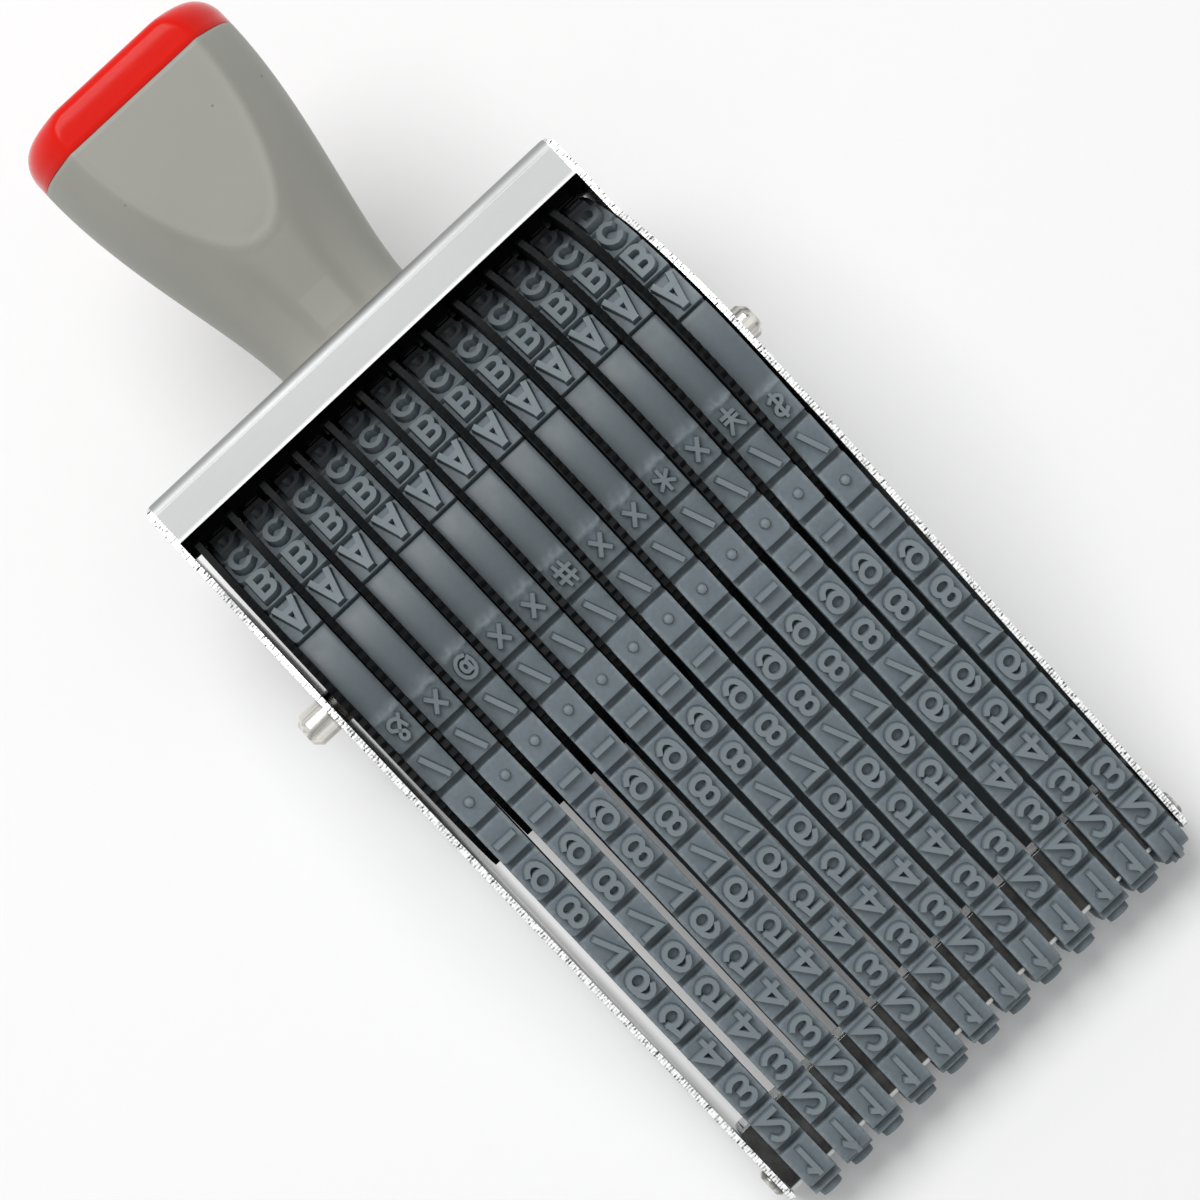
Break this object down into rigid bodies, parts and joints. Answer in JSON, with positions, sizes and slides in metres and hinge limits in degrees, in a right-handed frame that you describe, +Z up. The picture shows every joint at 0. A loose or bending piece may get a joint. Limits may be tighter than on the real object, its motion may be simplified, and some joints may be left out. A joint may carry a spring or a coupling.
{
  "type": "roller stamp",
  "caption": "Hand-held numbering stamp: rubber character bands run round thumb wheels on one axle and a folded nose, in a sheet frame with a moulded handle.",
  "frame": {"origin": "on the surface that the stamp lies on, under the middle of its box", "axes": "+X along the axle towards the plain end of the wheel stack, +Y from the print face to the handle, +Z up out of the digits' side"},
  "size_m": [0.0756, 0.157, 0.0581],
  "materials": {
    "frame_chrome": "bright plate",
    "handle_grey": "satin moulded",
    "cap_red": "gloss moulded",
    "steel": "bright",
    "axle_nickel": "nickel plate",
    "nose_steel": "bright plate",
    "wheel_black": "moulded",
    "band_rubber": "matt rubber"
  },
  "bodies": {
    "body": {"frame": "frame_chrome", "handle": "handle_grey", "handle_cap": "cap_red", "handle_screws": "steel", "axle": "axle_nickel", "nose_plate": "nose_steel", "nose_rivets": "steel", "band_01": "band_rubber", "band_02": "band_rubber", "band_03": "band_rubber", "band_04": "band_rubber", "band_05": "band_rubber", "band_06": "band_rubber", "band_07": "band_rubber", "band_08": "band_rubber", "band_09": "band_rubber", "band_10": "band_rubber", "band_11": "band_rubber", "band_12": "band_rubber"},
    "wheel_01": {"wheel_01": "wheel_black"},
    "wheel_02": {"wheel_02": "wheel_black"},
    "wheel_03": {"wheel_03": "wheel_black"},
    "wheel_04": {"wheel_04": "wheel_black"},
    "wheel_05": {"wheel_05": "wheel_black"},
    "wheel_06": {"wheel_06": "wheel_black"},
    "wheel_07": {"wheel_07": "wheel_black"},
    "wheel_08": {"wheel_08": "wheel_black"},
    "wheel_09": {"wheel_09": "wheel_black"},
    "wheel_10": {"wheel_10": "wheel_black"},
    "wheel_11": {"wheel_11": "wheel_black"},
    "wheel_12": {"wheel_12": "wheel_black"}
  },
  "joints": [
    {"name": "wheel_01_turn", "type": "hinge", "parent": "body", "child": "wheel_01", "pos_m": [-0.0292, 0.003, 0.0275], "axis": [1, 0, 0], "continuous": true},
    {"name": "wheel_02_turn", "type": "hinge", "parent": "body", "child": "wheel_02", "pos_m": [-0.02386, 0.003, 0.0275], "axis": [1, 0, 0], "continuous": true},
    {"name": "wheel_03_turn", "type": "hinge", "parent": "body", "child": "wheel_03", "pos_m": [-0.01852, 0.003, 0.0275], "axis": [1, 0, 0], "continuous": true},
    {"name": "wheel_04_turn", "type": "hinge", "parent": "body", "child": "wheel_04", "pos_m": [-0.01318, 0.003, 0.0275], "axis": [1, 0, 0], "continuous": true},
    {"name": "wheel_05_turn", "type": "hinge", "parent": "body", "child": "wheel_05", "pos_m": [-0.00784, 0.003, 0.0275], "axis": [1, 0, 0], "continuous": true},
    {"name": "wheel_06_turn", "type": "hinge", "parent": "body", "child": "wheel_06", "pos_m": [-0.0025, 0.003, 0.0275], "axis": [1, 0, 0], "continuous": true},
    {"name": "wheel_07_turn", "type": "hinge", "parent": "body", "child": "wheel_07", "pos_m": [0.00284, 0.003, 0.0275], "axis": [1, 0, 0], "continuous": true},
    {"name": "wheel_08_turn", "type": "hinge", "parent": "body", "child": "wheel_08", "pos_m": [0.00818, 0.003, 0.0275], "axis": [1, 0, 0], "continuous": true},
    {"name": "wheel_09_turn", "type": "hinge", "parent": "body", "child": "wheel_09", "pos_m": [0.01352, 0.003, 0.0275], "axis": [1, 0, 0], "continuous": true},
    {"name": "wheel_10_turn", "type": "hinge", "parent": "body", "child": "wheel_10", "pos_m": [0.01886, 0.003, 0.0275], "axis": [1, 0, 0], "continuous": true},
    {"name": "wheel_11_turn", "type": "hinge", "parent": "body", "child": "wheel_11", "pos_m": [0.0242, 0.003, 0.0275], "axis": [1, 0, 0], "continuous": true},
    {"name": "wheel_12_turn", "type": "hinge", "parent": "body", "child": "wheel_12", "pos_m": [0.02954, 0.003, 0.0275], "axis": [1, 0, 0], "continuous": true}
  ]
}
